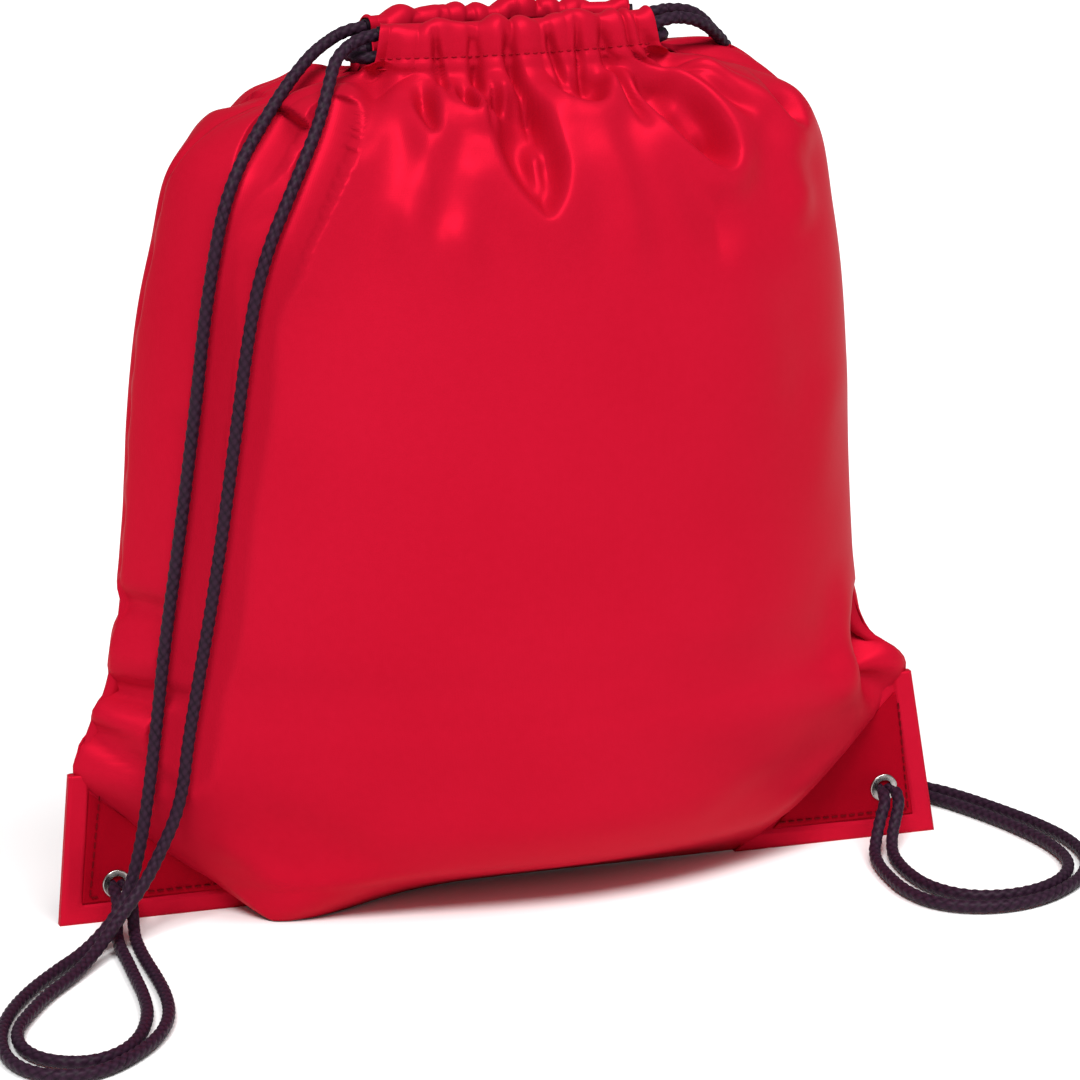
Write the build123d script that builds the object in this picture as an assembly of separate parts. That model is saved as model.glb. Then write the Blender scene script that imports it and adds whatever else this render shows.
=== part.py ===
from build123d import *
import math
import os

os.makedirs("parts", exist_ok=True)

# A drawstring backpack that stands stuffed on its flat base.  Origin: middle of the base, on the
# ground.  X runs along the width, the front panel faces -Y, Z is up.

# ---------------------------------------------------------------- driving dimensions, mm
SACK_WIDTH = 360.0          # flat sack, bottom corner to bottom corner
CLOTH = 1.5                 # wall of the stuffed sack
SACK_TOP = 323.0            # where the panels end and the hems begin
CORD = 5.0                  # diameter of the braided cord

# stuffed sack: height, half width, half depth, pinch (0.5 is an ellipse, 1 comes to a thin edge)
SACK_SECTIONS = [
    (0, 96, 34, 0.50),
    (20, 118, 52, 0.60),
    (41, 141, 60, 0.75),
    (62, 164, 65, 0.90),
    (86, 160, 71, 0.90),
    (115, 150, 75, 0.80),
    (200, 142, 74, 0.65),
    (262, 136, 63, 0.60),
    (290, 128, 51, 0.55),
    (306, 110, 40, 0.50),
    (316, 86, 31, 0.50),
    (SACK_TOP, 60, 23, 0.50),
]
SECTION_POINTS = 12         # spans of each half section's curve

# each panel is cut level into bands, so that every band bends in plan only: name, bottom, top
PANEL_BANDS = [
    ("foot", 0, 62),
    ("belly", 62, 150),
    ("chest", 150, 262),
    ("gather", 262, SACK_TOP),
]

# ears: the flat bottom corners, which fold about their slanted inner edge
EAR_INNER = 101.0           # inner end of the bottom edge
EAR_TIP_X = 172.5
EAR_TIP_Z = 64.7
EAR_CLOTH = 1.0             # one layer of panel cloth
BAND_WIDTH = 8.0            # seam allowance along the outer and bottom edges
BAND_RAISE = 0.9
PATCH_THICK = 1.0
PATCH_GAP = 0.1

# eyelets
EYELET_X = 157.5
EYELET_Z = {"left": 15.0, "right": 20.5}     # punched by hand, so a little uneven
EYELET_FLANGE_D = 11.4
EYELET_BARREL_D = 7.4
EYELET_BORE_D = 6.6
EYELET_HOLE_D = 7.5
FLANGE_THICK = 0.9
WASHER_D = 11.0
WASHER_THICK = 0.7
LIP_D = 8.8
NECK_D = 6.2                # the two strands squeezed through the eyelet
NECK_FRONT_Y = -7.4
KNOT_RADIUS = 7.0
KNOT_Y = 12.5
TAIL_LENGTH = 13.0

# gathered hems, each a bent tube that holds both cords
RIM_BOTTOM = 324.0
RIM_TOP = 343.0
RIM_HALF_LENGTH = 51.0
RIM_THICK = 12.0
RIM_WALL = 1.2
RIM_CORNER = 5.0
RIM_END_Y = -8.7            # hem's centre line at its ends
RIM_MIDDLE_Y = -15.0        # and in the middle
UPPER_CORD_Z = 338.5
LOWER_CORD_Z = 329.5
CORD_STICKS_OUT = 2.0       # how far the cords come out of the hem's ends

# thread
STITCH_LENGTH = 2.4
STITCH_PITCH = 3.6
STITCH_THICK = 0.5
STITCH_INSET = 2.5          # from a patch's edge

# seams inside the sack
SEAM_WIDTH = 7.0
SEAM_THICK = 1.6


# ---------------------------------------------------------------- helpers
def save(shape, node):
    export_step(shape, f"parts/{node}.step")


def save_on_side(shape, side, node):
    """Write a piece drawn on the right-hand side, mirrored when it belongs on the left."""
    if side == "left":
        shape = mirror(shape, about=Plane.YZ)
    save(shape, f"{side}_{node}")


def hem_arc(half_length, height):
    """Plan curve of the front hem, long enough to reach half_length each way."""
    sagitta = RIM_END_Y - RIM_MIDDLE_Y
    radius = (RIM_HALF_LENGTH**2 + sagitta**2) / (2 * sagitta)
    centre_y = RIM_MIDDLE_Y + radius
    end_y = centre_y - math.sqrt(radius**2 - half_length**2)
    return ThreePointArc((-half_length, end_y, height), (0, RIM_MIDDLE_Y, height), (half_length, end_y, height))


def tube(path, diameter=CORD):
    """A round bar along a path."""
    start = Plane(origin=path @ 0, z_dir=path % 0)
    return sweep(start * Circle(diameter / 2), path=path)


def cord_tube(node, points):
    """Straight runs joined by tangent arcs; prints the radii and the volume against the length."""
    places = [Vector(*p) for p in points]
    runs = [b - a for a, b in zip(places, places[1:])]
    radii = []
    for before, after in zip(runs, runs[1:]):
        half_turn = math.radians(before.get_angle(after)) / 2
        radii.append(0.45 * min(before.length, after.length) / math.tan(half_turn))
    path = FilletPolyline(*points, radius=radii)
    solid = tube(path)
    ideal = path.length * math.pi * CORD**2 / 4
    longest = max(run.length for run in runs)
    print(f"{node}: length {path.length:.1f}, radii {min(radii):.1f} to {max(radii):.0f}, "
          f"longest run {longest:.0f}, volume ratio {solid.volume / ideal:.4f}")
    save(solid, node)
    return solid


# ---------------------------------------------------------------- panels
def half_section(height, half_width, half_depth, pinch, past_middle):
    """Front half of one level section, closed by a flat back at past_middle beyond Y = 0."""
    curve = []
    for step in range(SECTION_POINTS + 1):
        angle = math.pi * step / SECTION_POINTS
        bulge = max(math.sin(angle), 0.0) ** (2 * pinch)
        curve.append((-half_width * math.cos(angle), -half_depth * bulge))
    edge = Spline(*curve)
    if past_middle == 0:
        outline = edge + Line(curve[-1], curve[0])
    else:
        back_right = (curve[-1][0], past_middle)
        back_left = (curve[0][0], past_middle)
        outline = edge + Polyline(curve[-1], back_right, back_left, curve[0])
    return Pos(0, 0, height) * make_face(outline)


def sack_panel():
    """Front half of the stuffed sack, open at the mouth, with a flat base."""
    outer = loft([half_section(*row, 0) for row in SACK_SECTIONS], ruled=True)
    hollow = []
    for height, half_width, half_depth, pinch in SACK_SECTIONS:
        if height == 0:
            height = CLOTH
        if height == SACK_TOP:
            height = SACK_TOP + CLOTH
        hollow.append(half_section(height, half_width - CLOTH, half_depth - CLOTH, pinch, CLOTH))
    return outer - loft(hollow, ruled=True)


def panel_band(panel, bottom, top):
    """The part of a panel between two levels."""
    slab = Box(2 * SACK_WIDTH, SACK_WIDTH, top - bottom, align=(Align.CENTER, Align.CENTER, Align.MIN))
    return panel & (Pos(0, 0, bottom) * slab)


front_panel = sack_panel()
for band, bottom, top in PANEL_BANDS:
    front_band = panel_band(front_panel, bottom, top)
    save(front_band, f"front_panel_{band}")
    save(mirror(front_band, about=Plane.XZ), f"back_panel_{band}")


def section_at(height):
    """Half width and half depth of the sack at a height, between the table's rows."""
    for low, high in zip(SACK_SECTIONS, SACK_SECTIONS[1:]):
        if low[0] <= height <= high[0]:
            share = (height - low[0]) / (high[0] - low[0])
            return (low[1] + share * (high[1] - low[1]), low[2] + share * (high[2] - low[2]))
    raise ValueError(height)


def side_seam():
    """Seam allowance and its thread, inside the sack along the right-hand edge."""
    inset = CLOTH + 4
    levels = [row[0] for row in SACK_SECTIONS if 100 < row[0] < 310]
    outer = [(section_at(z)[0] - inset, z) for z in levels]
    inner = [(x - SEAM_WIDTH, z) for x, z in reversed(outer)]
    strip = make_face(Polyline(*outer, *inner, outer[0]))
    return extrude(Plane.XZ * strip, amount=SEAM_THICK / 2, both=True)


for side in ("left", "right"):
    save_on_side(side_seam(), side, "side_seam")
bottom_seam = Box(150, SEAM_THICK, SEAM_WIDTH, align=(Align.CENTER, Align.CENTER, Align.MIN))
save(Pos(0, 0, CLOTH) * bottom_seam, "bottom_seam")

# ---------------------------------------------------------------- ears
EAR_OUTLINE = [(EAR_INNER, 0), (SACK_WIDTH / 2, 0), (EAR_TIP_X, EAR_TIP_Z)]


def ear_plate(outline, near_y, thickness):
    """A flat piece in the front half, from near_y towards -Y."""
    return Pos(0, near_y, 0) * extrude(Plane.XZ * Polygon(*outline, align=None), amount=thickness)


def inner_outline(inset):
    """The ear's triangle without its bottom and outer bands, and inset a little further."""
    lean = (SACK_WIDTH / 2 - EAR_TIP_X) / EAR_TIP_Z
    rise = EAR_TIP_Z / (EAR_TIP_X - EAR_INNER)
    side = BAND_WIDTH + inset
    offset = side * math.hypot(1, lean)
    bottom_right = (SACK_WIDTH / 2 - lean * side - offset, side)
    bottom_left = (EAR_INNER + side / rise, side)
    tip_z = (SACK_WIDTH / 2 - offset - EAR_INNER) / (1 / rise + lean)
    tip = (EAR_INNER + tip_z / rise, tip_z)
    return [bottom_left, bottom_right, tip]


def stitch_row(start, end, face_y, eyelet_z):
    """Stitches along a straight line on a face that looks towards -Y, broken where the eyelet is."""
    run = Vector(end[0] - start[0], end[1] - start[1], 0)
    count = int(run.length / STITCH_PITCH)
    lean = math.degrees(math.atan2(run.Y, run.X))
    stitch = Rot(0, -lean, 0) * Box(STITCH_LENGTH, STITCH_THICK, STITCH_THICK)
    row = []
    for index in range(count):
        share = (index + 0.5) / count
        x = start[0] + share * run.X
        z = start[1] + share * run.Y
        if math.hypot(x - EYELET_X, z - eyelet_z) < EYELET_FLANGE_D / 2 + STITCH_LENGTH:
            continue
        row.append(Pos(x, face_y - STITCH_THICK / 2, z) * stitch)
    return row


PATCH_FACE_Y = -(EAR_CLOTH + PATCH_THICK)
WASHER_Y = -PATCH_FACE_Y
LIP_Y = WASHER_Y + WASHER_THICK


def ear(side):
    """Two layers of cloth with their seam bands, two patches, thread, eyelet, washer and knot."""
    height = EYELET_Z[side]

    def bar(diameter, low_y, high_y):
        round_bar = Rot(90, 0, 0) * Cylinder(diameter / 2, high_y - low_y)
        return Pos(EYELET_X, (low_y + high_y) / 2, height) * round_bar

    hole = bar(EYELET_HOLE_D, -10, 10)
    cloth = ear_plate(EAR_OUTLINE, 0, EAR_CLOTH)
    band = ear_plate(EAR_OUTLINE, -EAR_CLOTH, BAND_RAISE)
    band = band - ear_plate(inner_outline(0), -EAR_CLOTH, BAND_RAISE)
    front_cloth = cloth + band - hole
    front_patch = ear_plate(inner_outline(PATCH_GAP), -EAR_CLOTH, PATCH_THICK) - hole
    save_on_side(front_cloth, side, "ear_front_cloth")
    save_on_side(mirror(front_cloth, about=Plane.XZ), side, "ear_back_cloth")
    save_on_side(front_patch, side, "ear_front_patch")
    save_on_side(mirror(front_patch, about=Plane.XZ), side, "ear_back_patch")

    lower_left, lower_right, tip = inner_outline(STITCH_INSET)
    front_rows = stitch_row(lower_left, lower_right, PATCH_FACE_Y, height)
    front_rows = front_rows + stitch_row(lower_right, tip, PATCH_FACE_Y, height)
    back_rows = [mirror(stitch, about=Plane.XZ) for stitch in front_rows]
    save_on_side(Compound(children=front_rows + back_rows), side, "ear_stitches")

    flange = bar(EYELET_FLANGE_D, PATCH_FACE_Y - FLANGE_THICK, PATCH_FACE_Y)
    flange = fillet(flange.edges().group_by(Axis.Y)[0], FLANGE_THICK * 0.7)
    barrel = bar(EYELET_BARREL_D, PATCH_FACE_Y - FLANGE_THICK, LIP_Y + FLANGE_THICK)
    lip = bar(LIP_D, LIP_Y, LIP_Y + FLANGE_THICK)
    save_on_side(flange + barrel + lip - bar(EYELET_BORE_D, -10, 10), side, "eyelet")
    washer = bar(WASHER_D, WASHER_Y, LIP_Y) - bar(EYELET_HOLE_D, WASHER_Y - 1, LIP_Y + 1)
    save_on_side(washer, side, "eyelet_washer")

    knot = bar(NECK_D, NECK_FRONT_Y, KNOT_Y) + Pos(EYELET_X, KNOT_Y, height) * Sphere(KNOT_RADIUS)
    tail_start = Vector(EYELET_X, KNOT_Y + KNOT_RADIUS * 0.5, height - KNOT_RADIUS * 0.4)
    for sideways in (-0.35, 0.35):
        direction = Vector(sideways, 0.8, -0.35).normalized()
        knot = knot + extrude(Plane(origin=tail_start, z_dir=direction) * Circle(CORD / 2), amount=TAIL_LENGTH)
    save_on_side(knot, side, "knot")


for side in ("left", "right"):
    ear(side)

# ---------------------------------------------------------------- hems with the cords inside
rim_path = hem_arc(RIM_HALF_LENGTH, (RIM_BOTTOM + RIM_TOP) / 2)
rim_start = Plane(origin=rim_path @ 0, x_dir=(0, 0, 1), z_dir=rim_path % 0)
rim_height = RIM_TOP - RIM_BOTTOM
outer_hem = sweep(rim_start * RectangleRounded(rim_height, RIM_THICK, RIM_CORNER), path=rim_path)
inner_profile = RectangleRounded(rim_height - 2 * RIM_WALL, RIM_THICK - 2 * RIM_WALL, RIM_CORNER - RIM_WALL)
front_channel = outer_hem - sweep(rim_start * inner_profile, path=rim_path)
save(front_channel, "front_channel")
save(mirror(front_channel, about=Plane.XZ), "back_channel")

HEM_STITCHES = 28
HEM_STITCH_Z = RIM_BOTTOM + 6.5
hem_stitches = []
stitch_path = hem_arc(RIM_HALF_LENGTH - 3, HEM_STITCH_Z)
for index in range(HEM_STITCHES):
    share = (index + 0.5) / HEM_STITCHES
    place = stitch_path @ share
    along = stitch_path % share
    outward = Vector(along.Y, -along.X, 0)
    centre = place + outward * (RIM_THICK / 2 + STITCH_THICK / 2 + 0.05)
    stitch = Plane(origin=centre, x_dir=along, z_dir=(0, 0, 1)) * Box(STITCH_LENGTH, STITCH_THICK, STITCH_THICK)
    hem_stitches.append(stitch)
hem_thread = Compound(children=hem_stitches)
save(hem_thread, "front_channel_stitches")
save(mirror(hem_thread, about=Plane.XZ), "back_channel_stitches")

cord_half_length = RIM_HALF_LENGTH + CORD_STICKS_OUT
for name, height in (("left_cord", UPPER_CORD_Z), ("right_cord", LOWER_CORD_Z)):
    run = tube(hem_arc(cord_half_length, height))
    save(run, name + "_front_run")
    save(mirror(run, about=Plane.XZ), name + "_back_run")

# Each cord crosses from the front hem to the back hem at the far end of the mouth.
MOUTH_END_X = 54.0          # where the leads and bridges take over from the hems' cords
MOUTH_END_Y = 8.2
for name, height, side in (("left_cord", UPPER_CORD_Z, 1), ("right_cord", LOWER_CORD_Z, -1)):
    x = side * MOUTH_END_X
    reach = side * (MOUTH_END_X + MOUTH_END_Y)
    bridge = tube(ThreePointArc((x, -MOUTH_END_Y, height), (reach, 0, height), (x, MOUTH_END_Y, height)))
    save(bridge, name + "_bridge")

# ---------------------------------------------------------------- shoulder straps
# Each strap is the two ends of one drawcord.  A lead carries each end out of its hem, and the strand
# runs on down the sack, along the ground in a loop, and up into the front of the eyelet.
LEADS = {
    "left_cord_back_lead": [(-54, 8.2, 338.5), (-59.5, 7.4, 338), (-65.5, 4.8, 335.6)],
    "left_cord_front_lead": [(-54.7, -8.3, 338.5), (-60, -9.6, 337.8), (-65.5, -12.5, 334.8)],
    "right_cord_back_lead": [(54.8, 8.3, 329.6), (60, 9, 331.5), (67, 10.8, 333.6)],
    "right_cord_front_lead": [(54, -8.2, 329.5), (60, -7.4, 330.8), (66.5, -4.6, 332.2)],
}

STRANDS = {
    "left_strap_back_strand": [
        (-65.5, 4.8, 335.6), (-72.7, 1.7, 332.7), (-82, -4, 326.5), (-92, -11, 318.5), (-101.5, -17.5, 308.5),
        (-111.5, -25.5, 297.5), (-118.7, -29.5, 281), (-123.5, -31.5, 260), (-127, -31, 237), (-129.5, -30, 213),
        (-133, -28, 184), (-137.2, -25.5, 150), (-141.5, -23, 119), (-145, -22, 88), (-149, -23, 60),
        (-153.5, -25, 37), (-158.5, -26.5, 20.5), (-164.5, -29, 12), (-172, -34.5, 7), (-182, -43.5, 3.5),
        (-194.5, -56, 3), (-210, -75.5, 3), (-222, -96, 3), (-229.5, -117, 3), (-231.5, -137, 3),
        (-227, -152, 3), (-217, -160, 3), (-204, -160.5, 3), (-190, -151, 3), (-176, -135.5, 3),
        (-166.5, -117, 3),
        (-162, -96, 3), (-160.5, -75, 3), (-160, -56, 3), (-159, -41, 3), (-157.8, -30, 3.4),
        (-156.6, -23.5, 6.6), (-155.6, -18.5, 11), (-155, -13.8, 14.3), (-154.8, -8.3, 15),
    ],
    "left_strap_front_strand": [
        (-65.5, -12.5, 334.8), (-71, -15.4, 331.8), (-75.5, -22, 323.5), (-81, -28.5, 312.5),
        (-88.5, -34.5, 300.5), (-96.5, -39, 286.5), (-104.3, -42, 271.5), (-110, -43, 253),
        (-113.8, -42.5, 231), (-117, -42, 208), (-120.3, -40.5, 183), (-123.5, -38, 157),
        (-127.2, -34.5, 129), (-131.5, -31, 101), (-135.5, -29.2, 77), (-137.3, -29, 61.5), (-140.5, -29, 49),
        (-146, -30, 38), (-151.8, -31.5, 28), (-157.8, -33.5, 20.5), (-164.3, -37, 15), (-171.5, -43, 9.5),
        (-180, -52, 5), (-190, -64, 3), (-202.6, -78.8, 3), (-213, -95, 3), (-221.5, -110, 3),
        (-224.5, -125.5, 3), (-221.5, -138.5, 3), (-214, -146.5, 3), (-203.5, -149.5, 3), (-192, -145, 3),
        (-181.5, -132.5, 3),
        (-173, -111.5, 3), (-169.5, -90.5, 3), (-168, -70, 3), (-166.6, -53.5, 3), (-165.8, -40, 3),
        (-164.6, -30, 3.4), (-163, -23.5, 6.6), (-161.3, -18.5, 11), (-160.4, -13.8, 14.3),
        (-160.2, -8.3, 15),
    ],
    "right_strap_back_strand": [
        (67, 10.8, 333.6), (75.4, 13, 336.1), (84, 16.2, 333), (91.5, 20, 324.5), (96.5, 25, 313),
        (101, 31.3, 299.5), (105.3, 36.6, 282.5), (109, 41, 261), (111.5, 43, 232), (112.8, 46, 200),
        (113.2, 47.5, 166), (113.5, 48, 132), (114, 47.5, 100), (116, 46.5, 70), (119.5, 48, 43.5),
        (124, 52, 22), (132, 57.5, 9), (143.5, 62, 3.6), (157.5, 62.5, 3), (172, 58, 3), (186, 49.5, 3),
        (197.5, 37, 3), (205, 22, 3), (212, 4.5, 3), (219, -15, 3), (223.5, -37, 3), (221.5, -59.5, 3),
        (210.5, -79.5, 3), (193.5, -94, 3), (175, -101.5, 3), (157, -100, 3), (143.5, -90, 3),
        (138, -73.5, 3), (138.2, -56, 3), (139.8, -41, 3), (142.5, -30, 3.6), (146.5, -23, 8.6),
        (150.2, -18, 14.6), (153.9, -13.6, 19), (154.8, -8.3, 20.5),
    ],
    "right_strap_front_strand": [
        (66.5, -4.6, 332.2), (73.7, -1.5, 333.7), (82, 3, 331), (90.5, 10, 324.5), (98.5, 18, 313.5),
        (106.2, 26, 300), (111.8, 31.5, 281.5), (115.3, 34.5, 259), (118.5, 37, 231), (120.8, 39, 201),
        (122, 39, 168), (122.4, 39.4, 134), (123.3, 38.8, 101), (126, 38.5, 70), (130.8, 41, 44.5),
        (137.5, 45, 24), (146, 48.5, 10.5), (156.5, 50.5, 4), (169, 48.5, 3), (181, 42, 3), (190.5, 31, 3),
        (197, 17, 3), (203.5, 1, 3), (209.5, -18, 3), (214, -40, 3), (213, -61, 3), (204, -77.5, 3),
        (189, -88, 3), (172, -91, 3), (157, -85.5, 3), (148.5, -71, 3), (147, -54.5, 3), (148, -40.5, 3),
        (150, -30, 3.6), (153, -23, 8.6), (156.9, -18, 14.6), (159.7, -13.6, 19), (160.2, -8.3, 20.5),
    ],
}

for node, route in (LEADS | STRANDS).items():
    cord_tube(node, route)
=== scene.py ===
import math

import bpy
import numpy as np
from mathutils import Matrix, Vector


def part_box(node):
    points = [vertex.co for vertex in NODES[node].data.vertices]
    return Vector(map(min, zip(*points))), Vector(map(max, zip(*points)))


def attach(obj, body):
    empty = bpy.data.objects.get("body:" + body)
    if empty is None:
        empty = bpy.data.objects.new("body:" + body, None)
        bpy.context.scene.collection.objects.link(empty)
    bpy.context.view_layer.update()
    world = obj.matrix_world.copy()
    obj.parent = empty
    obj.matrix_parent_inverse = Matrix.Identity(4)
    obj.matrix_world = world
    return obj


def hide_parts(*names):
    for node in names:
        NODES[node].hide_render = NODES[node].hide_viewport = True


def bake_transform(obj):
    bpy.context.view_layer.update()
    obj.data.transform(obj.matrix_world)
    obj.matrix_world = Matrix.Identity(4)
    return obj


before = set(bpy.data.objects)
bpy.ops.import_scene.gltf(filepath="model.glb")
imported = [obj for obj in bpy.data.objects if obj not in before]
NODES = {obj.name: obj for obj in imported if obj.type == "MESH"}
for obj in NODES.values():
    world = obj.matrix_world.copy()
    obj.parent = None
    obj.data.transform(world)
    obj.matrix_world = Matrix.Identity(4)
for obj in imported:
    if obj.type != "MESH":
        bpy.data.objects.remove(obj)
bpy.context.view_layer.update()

MM = 0.001


# ---------------------------------------------------------------- camera, light and floor
CAMERA_TURN = math.radians(18)  # the camera stands this far round to the sack's left
CAMERA_RISE = math.radians(15)
CAMERA_FAR = 2.0
CAMERA_LENS = 173.8
CAMERA_MIDDLE = Vector((0, 0, 0.165))
CAMERA_AIM = (0.0127, -0.0272)  # what it looks at: right of and below that middle
SKY_LIGHT = 0.29
FLOOR_HALF = 14.0  # half the floor's width, m


def add_object(name, data):
    thing = bpy.data.objects.new(name, data)
    bpy.context.scene.collection.objects.link(thing)
    return thing


def make_camera():
    back = Vector((
        -math.sin(CAMERA_TURN) * math.cos(CAMERA_RISE),
        -math.cos(CAMERA_TURN) * math.cos(CAMERA_RISE),
        math.sin(CAMERA_RISE),
    ))
    right = Vector((math.cos(CAMERA_TURN), -math.sin(CAMERA_TURN), 0))
    over = back.cross(right)
    place = CAMERA_MIDDLE + back * CAMERA_FAR
    aim = CAMERA_MIDDLE + right * CAMERA_AIM[0] + over * CAMERA_AIM[1]
    data = bpy.data.cameras.new("camera")
    data.lens = CAMERA_LENS
    data.sensor_width = 36
    camera = add_object("camera", data)
    camera.location = place
    camera.rotation_euler = (aim - place).to_track_quat("-Z", "Y").to_euler()
    bpy.context.scene.camera = camera


def soft_sun(name, direction, strength, spread):
    """Even light from far away, as wide as a large softbox; direction points from the light."""
    data = bpy.data.lights.new(name, "SUN")
    data.energy = strength
    data.angle = math.radians(spread)
    add_object(name, data).rotation_euler = Vector(direction).to_track_quat("-Z", "Y").to_euler()


def set_values(node, values):
    for name, value in values.items():
        node.inputs[name].default_value = value


def make_stage():
    world = bpy.data.worlds.new("studio")
    world.use_nodes = True
    set_values(world.node_tree.nodes["Background"], {"Color": (1, 1, 1, 1), "Strength": SKY_LIGHT})
    bpy.context.scene.world = world
    bpy.context.scene.view_settings.view_transform = "Standard"
    soft_sun("key", (0.55, 1.0, -1.45), 2.7, 20)
    soft_sun("top", (-0.25, 0.5, -1.0), 1.7, 30)
    floor_data = bpy.data.meshes.new("floor")
    corners = [(x * FLOOR_HALF, y * FLOOR_HALF, 0) for x, y in ((-1, -1), (1, -1), (1, 1), (-1, 1))]
    floor_data.from_pydata(corners, [], [(0, 1, 2, 3)])
    floor = add_object("floor", floor_data)
    paper = bpy.data.materials.new("paper")
    paper.use_nodes = True
    shader = paper.node_tree.nodes["Principled BSDF"]
    set_values(shader, {"Base Color": (0.93, 0.93, 0.93, 1), "Roughness": 0.9})
    floor_data.materials.append(paper)


# ---------------------------------------------------------------- materials
def node_material(name):
    """A material, its node tree, its shader and the place in the piece, which the textures follow."""
    material = bpy.data.materials.new(name)
    material.use_nodes = True
    tree = material.node_tree
    place = tree.nodes.new("ShaderNodeTexCoord").outputs["Object"]
    return material, tree, tree.nodes["Principled BSDF"], place


def wave(tree, vector, direction, period):
    node = tree.nodes.new("ShaderNodeTexWave")
    node.bands_direction = direction
    node.inputs["Scale"].default_value = 2 * math.pi / (20 * period)
    tree.links.new(vector, node.inputs["Vector"])
    return node.outputs["Fac"]


def noise(tree, vector, scale, detail=3.0):
    node = tree.nodes.new("ShaderNodeTexNoise")
    set_values(node, {"Scale": scale, "Detail": detail})
    tree.links.new(vector, node.inputs["Vector"])
    return node.outputs["Fac"]


def math_node(tree, operation, first, second):
    node = tree.nodes.new("ShaderNodeMath")
    node.operation = operation
    for socket, value in zip(node.inputs, (first, second)):
        if isinstance(value, (int, float)):
            socket.default_value = value
        else:
            tree.links.new(value, socket)
    return node.outputs[0]


def ramp(tree, factor, stops):
    node = tree.nodes.new("ShaderNodeValToRGB")
    elements = node.color_ramp.elements
    while len(elements) < len(stops):
        elements.new(0.5)
    for element, (position, colour) in zip(elements, stops):
        element.position = position
        element.color = (*colour, 1)
    tree.links.new(factor, node.inputs["Fac"])
    return node.outputs["Color"]


def bump(tree, height, strength, distance, after=None):
    node = tree.nodes.new("ShaderNodeBump")
    set_values(node, {"Strength": strength, "Distance": distance})
    tree.links.new(height, node.inputs["Height"])
    if after is not None:
        tree.links.new(after, node.inputs["Normal"])
    return node.outputs["Normal"]


GLOSS_SHARE = 0.20  # share of the dyed yarn's gloss, which has the cloth's own colour


def cloth_material(name, dark, light, roughness, weave_period=0.55 * MM, weave_strength=0.16):
    """Plain-woven polyester: warp and weft ribs, slight unevenness of colour and gloss."""
    material, tree, shader, place = node_material(name)
    patchy = noise(tree, place, 9.0)
    fine = noise(tree, place, 320.0, 2.0)
    shade = math_node(tree, "MULTIPLY_ADD", patchy, 0.75)
    tree.links.new(math_node(tree, "MULTIPLY", fine, 0.25), shade.node.inputs[2])
    tree.links.new(ramp(tree, shade, [(0.3, dark), (0.7, light)]), shader.inputs["Base Color"])
    warp = wave(tree, place, "X", weave_period)
    weft = wave(tree, place, "Z", weave_period)
    ribs = math_node(tree, "MAXIMUM", warp, weft)
    puckers = noise(tree, place, 60.0, 4.0)
    coarse = bump(tree, puckers, 0.10, 1.2 * MM)
    tree.links.new(bump(tree, ribs, weave_strength, 0.12 * MM, coarse), shader.inputs["Normal"])
    gloss = math_node(tree, "MULTIPLY_ADD", noise(tree, place, 24.0), 0.12)
    gloss.node.inputs[2].default_value = roughness - 0.06
    tree.links.new(gloss, shader.inputs["Roughness"])
    set_values(shader, {"Metallic": GLOSS_SHARE, "Specular IOR Level": 0.03, "Specular Tint": (1.0, 0.12, 0.14, 1)})
    return material


def cord_material(name, pit_shade, ridge, roughness):
    """Braided polyester: the braid is in the mesh, and single yarns are a fine bump along each strand."""
    material, tree, shader, place = node_material(name)
    relief = tree.nodes.new("ShaderNodeAttribute")
    relief.attribute_name = "relief"
    uneven = noise(tree, place, 900.0, 2.0)
    shade = math_node(tree, "MULTIPLY_ADD", relief.outputs["Fac"], 0.8)
    tree.links.new(math_node(tree, "MULTIPLY", uneven, 0.3), shade.node.inputs[2])
    # the pits between the strands are painted darker than the strands' tops: painted shade in the braid's hollows
    tree.links.new(ramp(tree, shade, [(0.15, pit_shade), (0.95, ridge)]), shader.inputs["Base Color"])
    tree.links.new(bump(tree, uneven, 0.35, 0.15 * MM), shader.inputs["Normal"])
    set_values(shader, {"Roughness": roughness, "Specular IOR Level": 0.10, "Sheen Weight": 0.02,
                        "Sheen Roughness": 0.35, "Sheen Tint": (0.75, 0.65, 0.85, 1)})
    return material


def metal_material(name):
    material, tree, shader, place = node_material(name)
    scuffs = noise(tree, place, 420.0, 5.0)
    shade = ramp(tree, scuffs, [(0.3, (0.30, 0.29, 0.28)), (0.7, (0.52, 0.51, 0.49))])
    tree.links.new(shade, shader.inputs["Base Color"])
    gloss = math_node(tree, "MULTIPLY_ADD", scuffs, 0.2)
    gloss.node.inputs[2].default_value = 0.14
    tree.links.new(gloss, shader.inputs["Roughness"])
    tree.links.new(bump(tree, scuffs, 0.08, 0.1 * MM), shader.inputs["Normal"])
    shader.inputs["Metallic"].default_value = 1.0
    return material


def thread_material(name, colour):
    material, tree, shader, place = node_material(name)
    twist = noise(tree, place, 1400.0, 2.0)
    dark = tuple(0.7 * c for c in colour)
    tree.links.new(ramp(tree, twist, [(0.35, dark), (0.65, colour)]), shader.inputs["Base Color"])
    tree.links.new(bump(tree, twist, 0.3, 0.1 * MM), shader.inputs["Normal"])
    set_values(shader, {"Roughness": 0.7, "Specular IOR Level": 0.05})
    return material


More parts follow.
